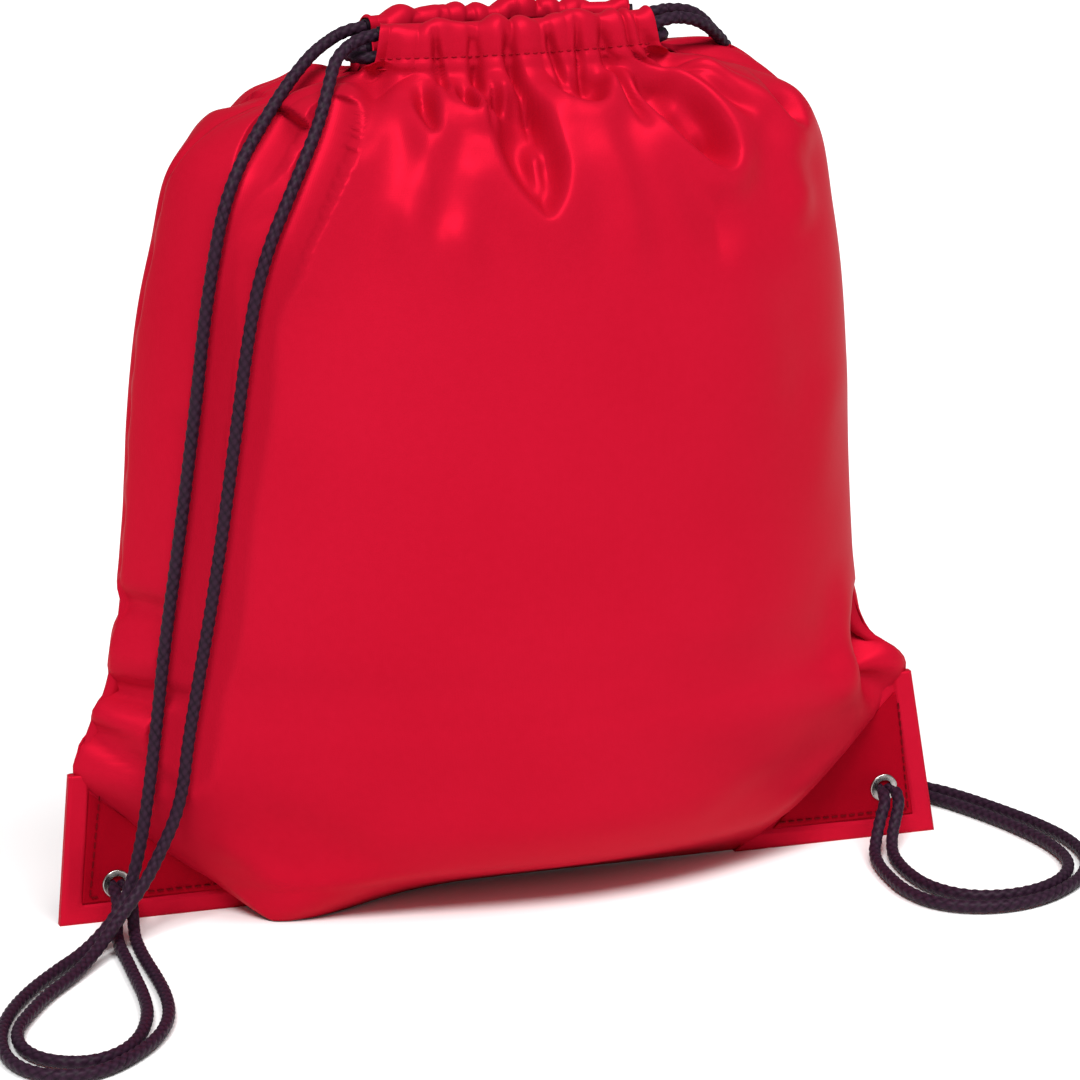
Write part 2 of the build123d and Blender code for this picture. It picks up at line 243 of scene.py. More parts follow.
RED_CLOTH = cloth_material("red_cloth", (0.435, 0.0048, 0.020), (0.480, 0.0060, 0.025), 0.43)
# the corner patches are the red cloth painted darker: painted shade of the corners under the sack's bulge
PATCH_CLOTH_PAINTED_SHADE = cloth_material("patch_cloth_painted_shade", (0.275, 0.0015, 0.0085), (0.315, 0.0019, 0.0105), 0.45, 0.9 * MM, 0.08)
# the darker first colour is painted shade for the braid's pits
CORD_BRAID = cord_material("cord_braid", (0.006, 0.0022, 0.006), (0.030, 0.011, 0.025), 0.50)
NICKEL = metal_material("nickel")
RED_THREAD = thread_material("red_thread", (0.36, 0.004, 0.016))
# red thread painted darker: painted shade, to go with the shaded corner patches it is sewn to
DARK_THREAD = thread_material("dark_thread", (0.15, 0.0018, 0.0055))


# ---------------------------------------------------------------- mesh helpers
def make_object(name, places, faces, material):
    """A smooth-shaded mesh in metres from places in millimetres."""
    mesh = bpy.data.meshes.new(name)
    mesh.from_pydata((np.asarray(places, float) * MM).tolist(), [], faces)
    mesh.polygons.foreach_set("use_smooth", np.ones(len(mesh.polygons), bool))
    mesh.materials.append(material)
    mesh.update()
    piece = add_object(name, mesh)
    return piece


def grid_faces(rows, columns, first=0, flip=False, closed=False):
    faces = []
    around = columns if closed else columns - 1
    for row in range(rows - 1):
        for column in range(around):
            a = first + row * columns + column
            b = first + row * columns + (column + 1) % columns
            quad = (a, b, b + columns, a + columns)
            faces.append(quad[::-1] if flip else quad)
    return faces


def slab(name, face, lining, material):
    """Closed sheet between two grids of the same size: rows x columns x 3, in millimetres."""
    rows, columns = face.shape[:2]
    count = rows * columns
    faces = grid_faces(rows, columns) + grid_faces(rows, columns, count, flip=True)
    rim = [row * columns for row in range(rows)]
    rim += [(rows - 1) * columns + column for column in range(1, columns)]
    rim += [row * columns + columns - 1 for row in range(rows - 2, -1, -1)]
    rim += [column for column in range(columns - 2, 0, -1)]
    for a, b in zip(rim, rim[1:] + rim[:1]):
        faces.append((a, b, b + count, a + count))
    places = np.concatenate([face.reshape(-1, 3), lining.reshape(-1, 3)])
    return make_object(name, places, faces, material)


def grid_normals(grid):
    along_rows = np.gradient(grid, axis=0)
    along_columns = np.gradient(grid, axis=1)
    normals = np.cross(along_columns, along_rows)
    return normals / np.maximum(np.linalg.norm(normals, axis=2, keepdims=True), 1e-9)


def smooth_step(value, low, high):
    share = np.clip((value - low) / (high - low), 0, 1)
    return share * share * (3 - 2 * share)


def curve_through(points, steps):
    """Catmull-Rom curve through a short list of points, as an array."""
    p = np.asarray(points, float)
    p = np.vstack([2 * p[0] - p[1], p, 2 * p[-1] - p[-2]])
    out = []
    for i in range(1, len(p) - 2):
        for t in np.arange(steps) / steps:
            a, b, c, d = p[i - 1], p[i], p[i + 1], p[i + 2]
            square = (2 * a - 5 * b + 4 * c - d) * t**2
            cube = (3 * b - a - 3 * c + d) * t**3
            out.append(0.5 * (2 * b + (c - a) * t + square + cube))
    out.append(p[-2])
    return np.array(out)


# ---------------------------------------------------------------- braided cords
CORD = 5.0  # diameter, mm
BRAID_STRANDS = 4  # strands each way round
BRAID_LEAD = 17.0  # one strand's turn round the cord, mm
BRAID_RELIEF = 0.55  # depth of the pits, mm
RING_STEP = 0.62  # between rings of the mesh, mm
RING_POINTS = 28

STRANDS = {
    "left_strap_back_strand": [
        (-65.5, 4.8, 335.6), (-72.7, 1.7, 332.7), (-82, -4, 326), (-92, -11, 317), (-101.5, -17.5, 306.5),
        (-111.5, -25.5, 295), (-118.7, -29.5, 279.5), (-123.5, -31.5, 259), (-127, -31, 237), (-129.5, -30, 213),
        (-133, -28, 184), (-137.2, -25.5, 150), (-141.5, -23, 119), (-145, -22, 88), (-149, -23, 60),
        (-153.5, -25, 37), (-158.5, -26.5, 20.5), (-164.5, -29, 12), (-172, -34.5, 7), (-182, -43.5, 3.5),
        (-194.5, -56, 3), (-210, -75.5, 3), (-222, -96, 3), (-229.5, -117, 3), (-231.5, -137, 3),
        (-227, -152, 3), (-217, -160, 3), (-204, -160.5, 3), (-190, -151, 3), (-176, -135.5, 3),
        (-166.5, -117, 3), (-162, -96, 3), (-160.5, -75, 3), (-160, -56, 3), (-159, -41, 3),
        (-157.8, -30, 3.4), (-156.6, -23.5, 6.6), (-155.6, -18.5, 11), (-155, -13.8, 14.3), (-154.8, -8.3, 15),
    ],
    "left_strap_front_strand": [
        (-65.5, -12.5, 334.8), (-71, -15.4, 331.8), (-75.5, -22, 323), (-81, -28.5, 311),
        (-88.5, -34.5, 298.5), (-96.5, -39, 284.5), (-104.3, -42, 269.5), (-110, -43, 252),
        (-113.8, -42.5, 231), (-117, -42, 208), (-120.3, -40.5, 183), (-123.5, -38, 157),
        (-127.2, -34.5, 129), (-131.5, -31, 101), (-135.5, -29.2, 77), (-137.3, -29, 61.5), (-140.5, -29, 49),
        (-146, -30, 38), (-151.8, -31.5, 28), (-157.8, -33.5, 20.5), (-164.3, -37, 15), (-171.5, -43, 9.5),
        (-180, -52, 5), (-190, -64, 3), (-202.6, -78.8, 3), (-213, -95, 3), (-221.5, -110, 3),
        (-224.5, -125.5, 3), (-221.5, -138.5, 3), (-214, -146.5, 3), (-203.5, -149.5, 3), (-192, -145, 3),
        (-181.5, -132.5, 3), (-173, -111.5, 3), (-169.5, -90.5, 3), (-168, -70, 3), (-166.6, -53.5, 3),
        (-165.8, -40, 3), (-164.6, -30, 3.4), (-163, -23.5, 6.6), (-161.3, -18.5, 11), (-160.4, -13.8, 14.3),
        (-160.2, -8.3, 15),
    ],
    "right_strap_back_strand": [
        (67, 10.8, 337.6), (75.4, 13, 337.3), (84, 16.2, 333), (91.5, 20, 324.5), (96.5, 25, 313),
        (101, 31.3, 299.5), (105.3, 36.6, 282.5), (109, 41, 261), (111.5, 43, 232), (112.8, 46, 200),
        (113.2, 47.5, 166), (113.5, 48, 132), (114, 47.5, 100), (116, 46.5, 70), (119.5, 48, 43.5),
        (124, 52, 22), (132, 57.5, 9), (143.5, 62, 3.6), (157.5, 62.5, 3), (172, 58, 3), (186, 49.5, 3),
        (197.5, 37, 3), (205, 22, 3), (212, 4.5, 3), (219, -15, 3), (223.5, -37, 3), (221.5, -59.5, 3),
        (210.5, -79.5, 3), (193.5, -94, 3), (175, -101.5, 3), (157, -100, 3), (143.5, -90, 3),
        (138, -73.5, 3), (138.2, -56, 3), (139.8, -41, 3), (142.5, -30, 3.6), (146.5, -23, 8.6),
        (150.2, -18, 14.6), (153.9, -13.6, 19), (154.8, -8.3, 20.5),
    ],
    "right_strap_front_strand": [
        (66.5, -4.6, 337.2), (73.7, -1.5, 336), (82, 3, 331.5), (90.5, 10, 324.5), (98.5, 18, 313.5),
        (106.2, 26, 300), (111.8, 31.5, 281.5), (115.3, 34.5, 259), (118.5, 37, 231), (120.8, 39, 201),
        (122, 39, 168), (122.4, 39.4, 134), (123.3, 38.8, 101), (126, 38.5, 70), (130.8, 41, 44.5),
        (137.5, 45, 24), (146, 48.5, 10.5), (156.5, 50.5, 4), (169, 48.5, 3), (181, 42, 3), (190.5, 31, 3),
        (197, 17, 3), (203.5, 1, 3), (209.5, -18, 3), (214, -40, 3), (213, -61, 3), (204, -77.5, 3),
        (189, -88, 3), (172, -91, 3), (157, -85.5, 3), (148.5, -71, 3), (147, -54.5, 3), (148, -40.5, 3),
        (150, -30, 3.6), (153, -23, 8.6), (156.9, -18, 14.6), (159.7, -13.6, 19), (160.2, -8.3, 20.5),
    ],
}
STRAND_END = 40.0  # length of the last of each strand, which is made as a piece of its own, mm

# lead: the body whose hem it comes out of, and its route
LEADS = {
    "left_cord_back_lead": ("back_hem", [(-52, 8.4, 338), (-59.5, 7.4, 338), (-65.5, 4.8, 335.6)]),
    "left_cord_front_lead": ("front_hem", [(-52, -8.4, 338), (-60, -9.6, 337.8), (-65.5, -12.5, 334.8)]),
    "right_cord_back_lead": ("back_hem", [(52, 8.4, 334.5), (59, 9, 337.3), (67, 10.8, 337.6)]),
    "right_cord_front_lead": ("front_hem", [(52, -8.4, 334.5), (59.5, -7.2, 337.5), (66.5, -4.6, 337.2)]),
}

# half of each bridge, from a hem's end to the middle of the mouth's end; the other half mirrors it
BRIDGES = {
    "left_cord_bridge": [(52, 8.4, 331), (57.5, 8.2, 331), (61, 5, 331), (61.6, 0, 331)],
    "right_cord_bridge": [(-52, 8.4, 329.5), (-57.5, 8.2, 329.5), (-61, 5, 329.5), (-61.6, 0, 329.5)],
}


def nurbs_line(points):
    """Dense points, in millimetres, along the smooth line that the route's control points make."""
    curve = bpy.data.curves.new("route", "CURVE")
    curve.dimensions = "3D"
    spline = curve.splines.new("NURBS")
    spline.points.add(len(points) - 1)
    for control, point in zip(spline.points, points):
        control.co = (*(MM * value for value in point), 1)
    spline.order_u = 3
    spline.use_endpoint_u = True
    spline.resolution_u = 24
    holder = add_object("route", curve)
    bpy.context.view_layer.update()
    mesh = bpy.data.meshes.new_from_object(holder)
    line = np.array([vertex.co for vertex in mesh.vertices], float) / MM
    bpy.data.objects.remove(holder)
    bpy.data.curves.remove(curve)
    bpy.data.meshes.remove(mesh)
    return line


def run_lengths(line):
    return np.linalg.norm(np.diff(line, axis=0), axis=1)


def even_line(line, step):
    """The same line with points the same distance apart."""
    far = np.concatenate([[0], np.cumsum(run_lengths(line))])
    count = max(int(round(far[-1] / step)), 4)
    at = np.linspace(0, far[-1], count + 1)
    return np.stack([np.interp(at, far, line[:, axis]) for axis in range(3)], axis=1), at


def braid_relief(angle, along):
    """0 in the pits to 1 on top of the strands of a round braid, each strand over one and under one."""
    turns = angle / (2 * math.pi)
    right = BRAID_STRANDS * (turns + along / BRAID_LEAD)
    left = BRAID_STRANDS * (turns - along / BRAID_LEAD)
    across_right, across_left = right % 1.0, left % 1.0
    over = (np.floor(right) + np.floor(left)) % 2 < 0.5
    across = np.where(over, across_right, across_left)
    down = np.where(over, across_left, across_right)
    crown = np.sqrt(np.clip(1 - (2 * across - 1) ** 2, 0, 1))
    return crown * (0.45 + 0.55 * np.sin(math.pi * down))


def braided_cord(name, line, diameter=CORD):
    """Closed round braid along a line in millimetres; returns the piece and its centre line in metres."""
    line, along = even_line(line, RING_STEP)
    tangents = np.gradient(line, axis=0)
    tangents /= np.linalg.norm(tangents, axis=1, keepdims=True)
    side = np.cross(tangents[0], (0.3, 0.2, 0.9))
    sides = []
    for tangent in tangents:
        side = side - tangent * (side @ tangent)
        side = side / np.linalg.norm(side)
        sides.append(side)
    sides = np.array(sides)
    others = np.cross(tangents, sides)
    angles = 2 * math.pi * np.arange(RING_POINTS) / RING_POINTS
    relief = braid_relief(angles[None, :], along[:, None])
    radius = diameter / 2 - BRAID_RELIEF * (1 - relief)
    spokes = np.cos(angles)[None, :, None] * sides[:, None, :]
    spokes = spokes + np.sin(angles)[None, :, None] * others[:, None, :]
    rings = line[:, None, :] + radius[:, :, None] * spokes
    places = np.concatenate([rings.reshape(-1, 3), line[:1], line[-1:]])
    faces = grid_faces(len(line), RING_POINTS, flip=True, closed=True)
    first, last = len(places) - 2, len(places) - 1
    end = (len(line) - 1) * RING_POINTS
    for point in range(RING_POINTS):
        after = (point + 1) % RING_POINTS
        faces.append((first, point, after))
        faces.append((last, end + after, end + point))
    piece = make_object(name, places, faces, CORD_BRAID)
    shade = piece.data.attributes.new("relief", "FLOAT", "POINT")
    shade.data.foreach_set("value", np.concatenate([relief.reshape(-1), [0.5, 0.5]]).astype(np.float32))
    return piece, line * MM


def make_cords():
    leads = {}
    for name, (hem, route) in LEADS.items():
        lead, _ = braided_cord("soft_" + name, nurbs_line(route))
        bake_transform(lead)
        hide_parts(name)
        leads[name] = lead
    for name, route in BRIDGES.items():
        for hem, sign in (("back_hem", 1), ("front_hem", -1)):
            half, _ = braided_cord(f"soft_{name}_{hem}", nurbs_line([(x, sign * y, z) for x, y, z in route]))
            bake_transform(half)
            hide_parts(name)
    for name, route in STRANDS.items():
        whole = nurbs_line(route)
        still_to_go = np.cumsum(run_lengths(whole)[::-1])[::-1]
        cut = int(np.sum(still_to_go > STRAND_END))
        strand, line = braided_cord("soft_" + name, whole[:cut + 1])
        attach(strand, "root")
        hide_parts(name)
        last, bent = braided_cord(f"soft_{name}_end", whole[cut:])
        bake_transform(last)
        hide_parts(name)
        lead = leads[name.replace("strap", "cord").replace("strand", "lead")]


# ---------------------------------------------------------------- knots behind the eyelets
KNOT_CORD = 4.3  # the cord is pulled thinner in the knot
NECK_CORD = 3.6  # and squeezed where two strands share the eyelet
KNOT_BACK = 12.0  # the knot's middle, behind the ear
KNOT_WIDTH = 3.4
KNOT_DEPTH = 3.1


def make_knot(side):
    """Both strands' ends tied in one round overhand knot, with two short tails."""
    low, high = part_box(side + "_eyelet")
    sign = 1 if side == "right" else -1
    middle = Vector(((low.x + high.x) / 2, KNOT_BACK * MM, (low.z + high.z) / 2)) / MM
    x, y, z = middle
    turn = np.linspace(0, 2 * math.pi, 140)
    around = KNOT_WIDTH * (1.15 + 0.62 * np.cos(3 * turn))
    deep = KNOT_DEPTH * np.sin(3 * turn)
    loop = np.stack([around * np.cos(2 * turn), deep, around * np.sin(2 * turn)], axis=1)
    cords = [("", loop + np.array(middle), KNOT_CORD)]
    for number, lean in ((1, -1), (2, 1)):
        tail = [(x + lean * 1.5 * sign, y + 2, z), (x + lean * 2.6 * sign, y + 6, z - 1),
                (x + lean * 4.2 * sign, y + 12, z - 4), (x + lean * 5.4 * sign, y + 19, z - 8)]
        neck = [(x + lean * 2.4, -7.9, z), (x + lean * 1.75, -3.5, z), (x + lean * 1.5, 1, z), (x + lean * 1.6, 9, z)]
        cords += [(f"_tail_{number}", nurbs_line(tail), CORD), (f"_neck_{number}", nurbs_line(neck), NECK_CORD)]
    for ending, line, diameter in cords:
        piece, _ = braided_cord(f"soft_{side}_knot" + ending, line, diameter)
        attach(piece, side + "_ear")
        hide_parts(side + "_knot")


# ---------------------------------------------------------------- the stuffed sack
CLOTH_THICK = 0.6
FOOT_BULGE = 24.0  # how far the front panel sags over the ground near the left corner
FOOT_AT = 94.0  # how far left of the middle
SEAM_DENT = 1.3
HEM_FOOT = 323.5
HEM_SEEDS = {True: 0.4, False: 1.7}  # the front (True) and back hems gather differently
GATHER_HEIGHT = 1.9
CREST_PUFF = 0.9
CREST_ARCH = {True: 1.5, False: 2.5}  # how much higher the hem is in its middle, front (True) and back
STITCH_DENT = 0.5
STRAND_ROOM = 2.7  # from a strand's middle to the cloth it lies on
STRAND_REACH = 12.0  # the cloth is pressed in no further than this from a strand
FOLD_SCALE = 1.7
POCKET_MOUTH = 14.0  # a pocket reaches its full depth this far from its open top
PANEL_BANDS = ("foot", "belly", "chest", "gather")  # the CAD nodes of each panel
PANEL_COLUMNS = 261
ROW_STEPS = [(0, 2.6), (60, 2.8), (220, 2.6), (260, 1.5), (300, 1.2), (322, 0.9), (343, 0.8)]  # height, spacing

# height, half width on the left and on the right, half depth, pinch (0.5 is an ellipse, 1 comes to
# a thin edge at the side seam).  The sack leans a little to its left, as it was stuffed.
SECTIONS = [
    (0.5, 106, 98, 0.5, 0.50),
    (2.6, 109, 102, 5, 0.50),
    (7.5, 115, 107, 17, 0.50),
    (13.5, 122, 114, 31, 0.53),
    (20, 131, 122.5, 44, 0.60),
    (30, 143, 133.5, 53, 0.68),
    (41, 154, 144, 59, 0.75),
    (58, 172, 162, 64, 0.90),
    (70, 171.5, 167.5, 67, 0.90),
    (79, 168.5, 163, 69, 0.89),
    (85.5, 165.5, 154, 70, 0.88),
    (91, 163, 149.5, 71, 0.87),
    (100, 160.5, 146.5, 72, 0.85),
    (118, 157, 143.5, 74, 0.78),
    (160, 152, 140.5, 75, 0.72),
    (200, 149, 138.5, 74, 0.66),
    (235, 144.5, 135.5, 70, 0.62),
    (262, 138.5, 131.5, 63, 0.60),
    (290, 131, 126, 52, 0.55),
    (306, 114, 115, 41, 0.50),
    (316, 88, 97, 32, 0.50),
    (323.5, 63, 67, 25, 0.50),
]
# the same columns, on over the hem: up its face, over its crest and down inside it; depths are at its middle
HEM_ROWS = [
    (327.0, 59.5, 61.0, 23.2, 0.50),
    (330.6, 58.0, 58.6, 22.3, 0.50),
    (334.0, 57.2, 57.5, 21.9, 0.50),
    (337.0, 56.6, 56.8, 21.6, 0.50),
    (339.8, 56.0, 56.2, 20.6, 0.50),
    (341.8, 55.2, 55.4, 18.8, 0.50),
    (342.4, 54.5, 54.6, 16.2, 0.50),
    (341.6, 53.8, 53.9, 13.2, 0.50),
    (339.0, 53.2, 53.3, 11.2, 0.50),
    (336.0, 52.9, 53.0, 10.8, 0.50),
]
# the folded-under part of the hem: down inside it, forward at the stitches and down behind the panel
HEM_FOLD = [
    (338.6, 53.2, 53.2, 11.9, 0.50),
    (335.0, 53.0, 53.0, 11.7, 0.50),
    (330.0, 53.0, 53.0, 11.6, 0.50),
    (326.8, 53.6, 53.6, 12.8, 0.50),
    (325.4, 54.4, 54.4, 15.2, 0.50),
    (325.2, 55.2, 55.2, 18.2, 0.50),
    (325.0, 56.0, 56.0, 20.6, 0.50),
]
HEM_END = 0.30  # angle at which a hem's end leaves the side open, radians
HEM_CREST = 342.4
CORD_LINE = (8.3, 6.7, 15.0)  # depth of the hem's cords at its ends, their bow, depth at its middle
HEM_CORD_HALF = 53.6
HEM_CORD_HEIGHTS = (338.5, 329.5)
HEM_DEEPEST = 4.0  # a crease goes no deeper than this into the hem
STITCH_LINE = 330.2

# Folds hang from the gathers as pockets.  Each rim runs down one side, round the bottom and up the
# other; inside it the cloth sinks.  (rim's x and z points, rim height, sink, softness outside, inside)
POCKETS = [
    ([(-28, 328), (-31, 319), (-28.5, 312), (-23, 309.5), (-20, 314), (-19.5, 325)], 2.6, 4.2, 6, 2.6),
    ([(-18, 326), (-19, 314), (-15.5, 309.5), (-11.5, 312), (-10, 319), (-11, 328)], 2.6, 4.4, 6, 2.6),
    ([(-17, 325), (-21, 308), (-18, 292), (-11, 281), (-3, 274), (4, 280), (8, 291), (7.5, 300), (5, 311), (-1, 324)],
     2.6, 6.0, 13, 5.5),
    ([(3, 326), (9, 315), (18, 310.5), (26, 310.5), (30, 315), (31.5, 321), (29, 330)], 2.8, 4.6, 7, 3.0),
    ([(36, 327), (41, 311), (48, 301), (58, 291.5), (67, 285.5), (74, 286), (77, 292), (75, 301), (68, 312),
      (56, 322), (48, 330)], 3.6, 6.8, 10, 4.6),
    ([(34, 325), (38, 300), (43, 280), (50, 262), (59, 251), (68, 249), (77, 255), (86, 266)], 1.3, 1.8, 17, 13),
    ([(-72, 300), (-62, 284), (-54, 273), (-46, 267), (-38, 270), (-30, 280)], 1.1, 1.6, 15, 13),
    ([(-106, 278), (-100, 266), (-93, 261), (-86, 268), (-79, 283), (-66, 303), (-52, 321)], 2.6, 3.0, 12, 8),
    ([(-92, 312), (-78, 309), (-68, 312), (-58, 320)], 1.8, 2.6, 6, 4),
    ([(-45, 326), (-47, 312), (-43, 303), (-38, 305), (-36, 314), (-35, 327)], 2.2, 3.2, 7, 3.4),
    ([(80, 318), (92, 305), (103, 295), (110, 296), (109, 305), (98, 316)], 2.2, 3.2, 10, 5),
]

# Ridges that fan out from the gathers: x and z points, height, softness
RIDGES = [
    ([(-3, 305), (-3.5, 292), (-3, 276)], 3.4, 3.2),
    ([(12, 321), (19, 316), (25, 313.5)], 1.8, 1.8),
    ([(52, 318), (62, 306), (70, 292)], 2.4, 3.4),
    ([(-50, 324), (-68, 306), (-84, 284), (-96, 258), (-104, 232)], 2.6, 8),
    ([(-34, 322), (-42, 302), (-52, 280), (-60, 252)], 2.6, 8),
    ([(-26, 306), (-30, 290), (-36, 268), (-40, 246)], 1.8, 8),
    ([(15, 312), (24, 296), (28, 270), (28, 240)], 2.2, 8),
    ([(-56, 322), (-78, 315), (-100, 303), (-120, 284)], 1.4, 7),
    ([(50, 322), (74, 316), (96, 304), (114, 284)], 2.2, 5),
    ([(90, 300), (102, 280), (110, 255)], 2.2, 8),
]

# Deep narrow creases that come out of the gathers: x and z points, depth, softness
CREASES = [
    ([(-20, 345), (-19, 330), (-19, 321), (-19, 309), (-20, 300)], 6.5, 1.9),
    ([(-7, 345), (-6, 330), (-4, 322), (-1, 310), (0, 300)], 7.0, 2.1),
    ([(31, 345), (33, 330), (35, 322), (39, 309), (42, 300)], 6.0, 2.2),
    ([(-46, 345), (-51, 330), (-58, 318), (-68, 303), (-74, 294)], 3.6, 4.0),
    ([(9, 345), (11, 332), (13, 325), (15, 316)], 5.0, 1.7),
    ([(46, 345), (53, 328), (66, 317), (80, 307), (88, 300)], 5.2, 2.5),
    ([(-34, 345), (-33, 330), (-32, 320), (-31, 311)], 4.6, 1.7),
    ([(21, 345), (22, 330), (22, 322), (23, 314)], 3.8, 1.5),
]

# Softer dents and wrinkles lower down, on the front: x and z points, height (a dent is negative), softness
FRONT_WRINKLES = [
    ([(-178, 82), (-164, 74), (-148, 63), (-134, 55)], -3.4, 5),
    ([(-172, 96), (-156, 92), (-140, 93), (-124, 97)], -3.6, 4.5),
    ([(-176, 90), (-158, 83), (-142, 77), (-126, 74)], 3.0, 5),
    ([(-168, 124), (-150, 127), (-132, 123)], -2.8, 6),
    ([(-166, 110), (-148, 108), (-130, 111)], 2.0, 6),
    ([(-146, 160), (-134, 150), (-122, 132)], 1.4, 9),
    ([(-141, 205), (-130, 190), (-122, 168)], -1.6, 8),
    ([(166, 54), (154, 64), (147, 78), (144, 94), (146, 110)], -13.0, 7.0),
    ([(131, 60), (131, 90), (130, 125)], 3.5, 9),
    ([(150, 52), (132, 42), (112, 30), (90, 18)], 1.6, 6),
    ([(136, 56), (112, 46), (88, 38), (60, 30)], -1.4, 10),
    ([(-128, 40), (-112, 28), (-94, 14)], 1.6, 6),
    ([(-118, 52), (-92, 40), (-62, 26)], -1.5, 9),
    ([(126, 210), (118, 180), (116, 140)], 1.2, 12),
    ([(96, 250), (104, 215), (110, 180)], -1.4, 13),
]
BACK_WRINKLES = [
    ([(-160, 66), (-146, 80), (-126, 90)], -2.4, 6),
    ([(-154, 88), (-138, 98), (-118, 104)], 2.0, 6),
    ([(-146, 120), (-128, 130), (-110, 134)], -1.6, 8),
    ([(160, 66), (148, 82), (130, 92)], -2.6, 6),
    ([(154, 92), (140, 104), (124, 108)], 2.0, 6),
    ([(100, 250), (108, 215), (112, 170)], -1.6, 10),
    ([(-100, 250), (-112, 210), (-112, 160)], 1.4, 10),
    ([(60, 40), (30, 30), (-10, 28)], -1.2, 12),
]

# The left side seam is pulled in: height, depth, reach
SIDE_NOTCHES = [(124, 3.0, 5.5), (94, 4.0, 4.5), (77.5, 3.0, 3.5)]

# Broad soft unevenness of the stuffing: centre x and z, height, reach
SWELLS = [
    ((-60, 130), 2.2, 52), ((45, 165), -1.6, 48), ((20, 60), 2.0, 50), ((95, 110), 1.6, 40),
    ((-100, 215), 1.6, 36), ((-20, 225), -1.4, 40), ((80, 225), 1.4, 34), ((-10, 105), -1.2, 34),
]
# The right shoulder bulges on the back panel: centre x and z, height, reach
BACK_SWELLS = [((88, 309), 7, 24)]


def section_rows(sections, steps):
    """Smooth rows through a table of sections, closer together towards the gathers: steps by height, mm."""
    dense = curve_through(sections, 24)
    runs = run_lengths(dense[:, [0, 1, 3]] * (1, 0.45, 1))
    share = np.interp(dense[:-1, 0], [height for height, _ in steps], [step for _, step in steps])
    far = np.concatenate([[0], np.cumsum(runs / share)])
    at = np.linspace(0, far[-1], int(round(far[-1])) + 1)
    return np.stack([np.interp(at, far, dense[:, column]) for column in range(5)], axis=1)


def distance_to(line, x, z):
    """Signed distance from each point to a line (positive on its left), with the share along it."""
    best = np.full(x.shape, 1e9)
    sign = np.zeros(x.shape)
    share = np.zeros(x.shape)
    for number in range(len(line) - 1):
        (ax, az), (bx, bz) = line[number], line[number + 1]
        dx, dz = bx - ax, bz - az
        t = np.clip(((x - ax) * dx + (z - az) * dz) / (dx * dx + dz * dz), 0, 1)
        away = np.hypot(x - ax - t * dx, z - az - t * dz)
        nearer = away < best
        best = np.where(nearer, away, best)
        sign = np.where(nearer, np.sign(dx * (z - az) - dz * (x - ax)), sign)
        share = np.where(nearer, (number + t) / (len(line) - 1), share)
    return best * sign, share


def inside_outline(line, x, z):
    """Which points lie inside the closed outline."""
    inside = np.zeros(x.shape, bool)
    for (ax, az), (bx, bz) in zip(line, np.roll(line, -1, axis=0)):
        crosses = (az > z) != (bz > z)
        with np.errstate(divide="ignore", invalid="ignore"):
            at = ax + (z - az) * (bx - ax) / (bz - az)
        inside ^= crosses & (x < at)
    return inside


def pocket_heights(x, z, pockets):
    height = np.zeros(x.shape)
    for points, rim, sink, outside, within in pockets:
        line = curve_through(points, 8)
        away, share = distance_to(line, x, z)
        away = np.abs(away)
        inner = inside_outline(line, x, z)
        mouth, _ = distance_to(line[[-1, 0]], x, z)
        depth_in = smooth_step(np.abs(mouth), 0.0, POCKET_MOUTH)
        rim_here = rim * smooth_step(share, 0.0, 0.22) * smooth_step(1 - share, 0.0, 0.22)
        sink_here = sink * depth_in
        outer_side = rim_here * np.exp(-(away / outside) ** 2)
        soft = outside + (within - outside) * depth_in
        inner_side = (rim_here + sink_here) * np.exp(-(away / soft) ** 2) - sink_here
        height += np.where(inner, inner_side, outer_side)
    return height


def line_heights(x, z, lines):
    height = np.zeros(x.shape)
    for points, rise, softness in lines:
        away, share = distance_to(curve_through(points, 6), x, z)
        fade = smooth_step(share, 0.0, 0.35) * smooth_step(1 - share, 0.0, 0.35)
        height += rise * np.exp(-(away / softness) ** 2) * fade
    return height


def gathers(angle, seed):
    """Uneven pleats of the drawn-up hem: broad crowns with narrow valleys, from -1 to 1."""
    wander = 1.3 * np.sin(3 * angle + seed) + 0.8 * np.sin(7.3 * angle + 2 * seed)
    wander = wander + 0.35 * np.sin(12.1 * angle + 5 * seed)
    phase = 11.5 * angle + wander
    uneven = 0.62 + 0.38 * np.sin(5.1 * angle + 3 * seed)
    return uneven * (2 * np.abs(np.sin(phase)) ** 0.75 - 1.15)


def cloth_rows(table, front):
    """Places of the smooth cloth, rows x columns: an oval body that narrows to the hem's two open ends.

    Rows from the highest one on are hem, whatever their height."""
    sign = -1 if front else 1
    heights, lefts, rights, depths, pinches = (table[:, column][:, None] for column in range(5))
    crest = int(np.argmax(table[:, 0]))
    hem = smooth_step(table[:, 0], 322, 329)
    hem[crest:] = 1
    hem = hem[:, None]
    share = np.linspace(0, 1, PANEL_COLUMNS)[None, :]
    angles = HEM_END * hem + (math.pi - 2 * HEM_END * hem) * share
    along = np.cos(angles)
    across = np.clip(np.sin(angles), 0, 1)
    x = -np.where(along > 0, lefts, rights) * along
    oval = depths * across ** (2 * pinches)
    end_depth, bow, middle_depth = CORD_LINE
    tube = end_depth + bow * across**2 + (depths - middle_depth) * (0.75 + 0.25 * across)
    y = sign * (oval + (tube - oval) * hem)
    return np.stack([x, y, heights + 0 * x], axis=2), angles, hem


def hem_rise(x, z, angles, hem, front):
    """How far the gathers and the creases that run out of them push the cloth out."""
    crown = gathers(angles, HEM_SEEDS[front])
    fade = np.exp(np.minimum(z - HEM_FOOT, 0) / 12.0)
    rise = GATHER_HEIGHT * crown * fade * (0.3 + 0.7 * np.clip(np.sin(angles), 0, 1))
    across = x if front else -x
    rise -= line_heights(across, z, CREASES)
    return rise + (np.maximum(rise, -HEM_DEEPEST) - rise) * hem


